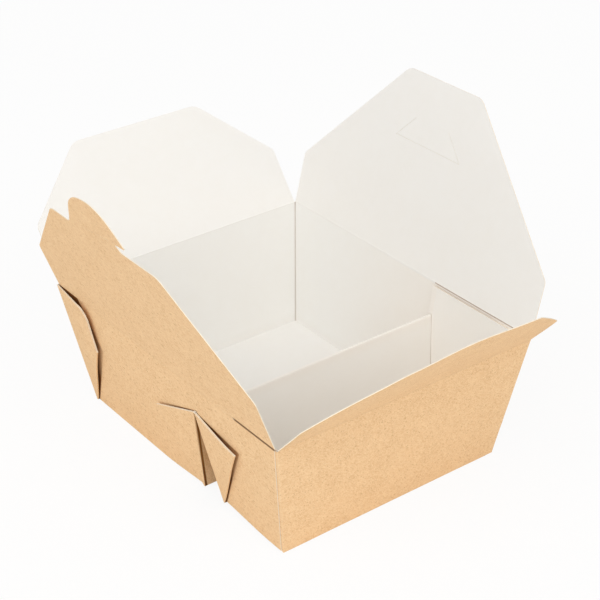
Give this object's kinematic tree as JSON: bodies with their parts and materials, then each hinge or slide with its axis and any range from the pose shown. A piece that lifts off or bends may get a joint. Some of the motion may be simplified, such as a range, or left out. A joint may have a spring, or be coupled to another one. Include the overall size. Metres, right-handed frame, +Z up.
{
  "type": "takeaway box",
  "caption": "Open folded paperboard takeaway box with sloping walls, a raised pleat that divides its tray, and creased lid flaps that close over one another and lock with a tab in a slit.",
  "frame": {"origin": "middle of the underside, on the large base panel, at the level of the surface the box stands on", "axes": "+Z up, +X to the right along the front wall, -Y to the front, where the small compartment is"},
  "size_m": [0.1901, 0.2481, 0.1481],
  "materials": {
    "tray_board": "matt kraft outside, white coated inside",
    "flap_board": "matt kraft outside, white coated inside"
  },
  "bodies": {
    "tray": {"tray": "tray_board"},
    "back_flap": {"back_flap": "flap_board"},
    "front_flap": {"front_flap": "flap_board"},
    "left_flap": {"left_flap": "flap_board"},
    "right_flap": {"right_flap": "flap_board"}
  },
  "joints": [
    {"name": "back_flap_crease", "type": "hinge", "parent": "tray", "child": "back_flap", "pos_m": [0, 0.08607, 0.0618], "axis": [1, 0, 0], "range_deg": [-73, 127]},
    {"name": "front_flap_crease", "type": "hinge", "parent": "tray", "child": "front_flap", "pos_m": [0, -0.08607, 0.0618], "axis": [-1, 0, 0], "range_deg": [-67, 133]},
    {"name": "right_flap_crease", "type": "hinge", "parent": "tray", "child": "right_flap", "pos_m": [0.0687, 0, 0.0625], "axis": [0, -1, 0], "range_deg": [-95, 105]},
    {"name": "left_flap_crease", "type": "hinge", "parent": "tray", "child": "left_flap", "pos_m": [-0.0687, 0, 0.0625], "axis": [0, 1, 0], "range_deg": [-91, 107.5]}
  ]
}
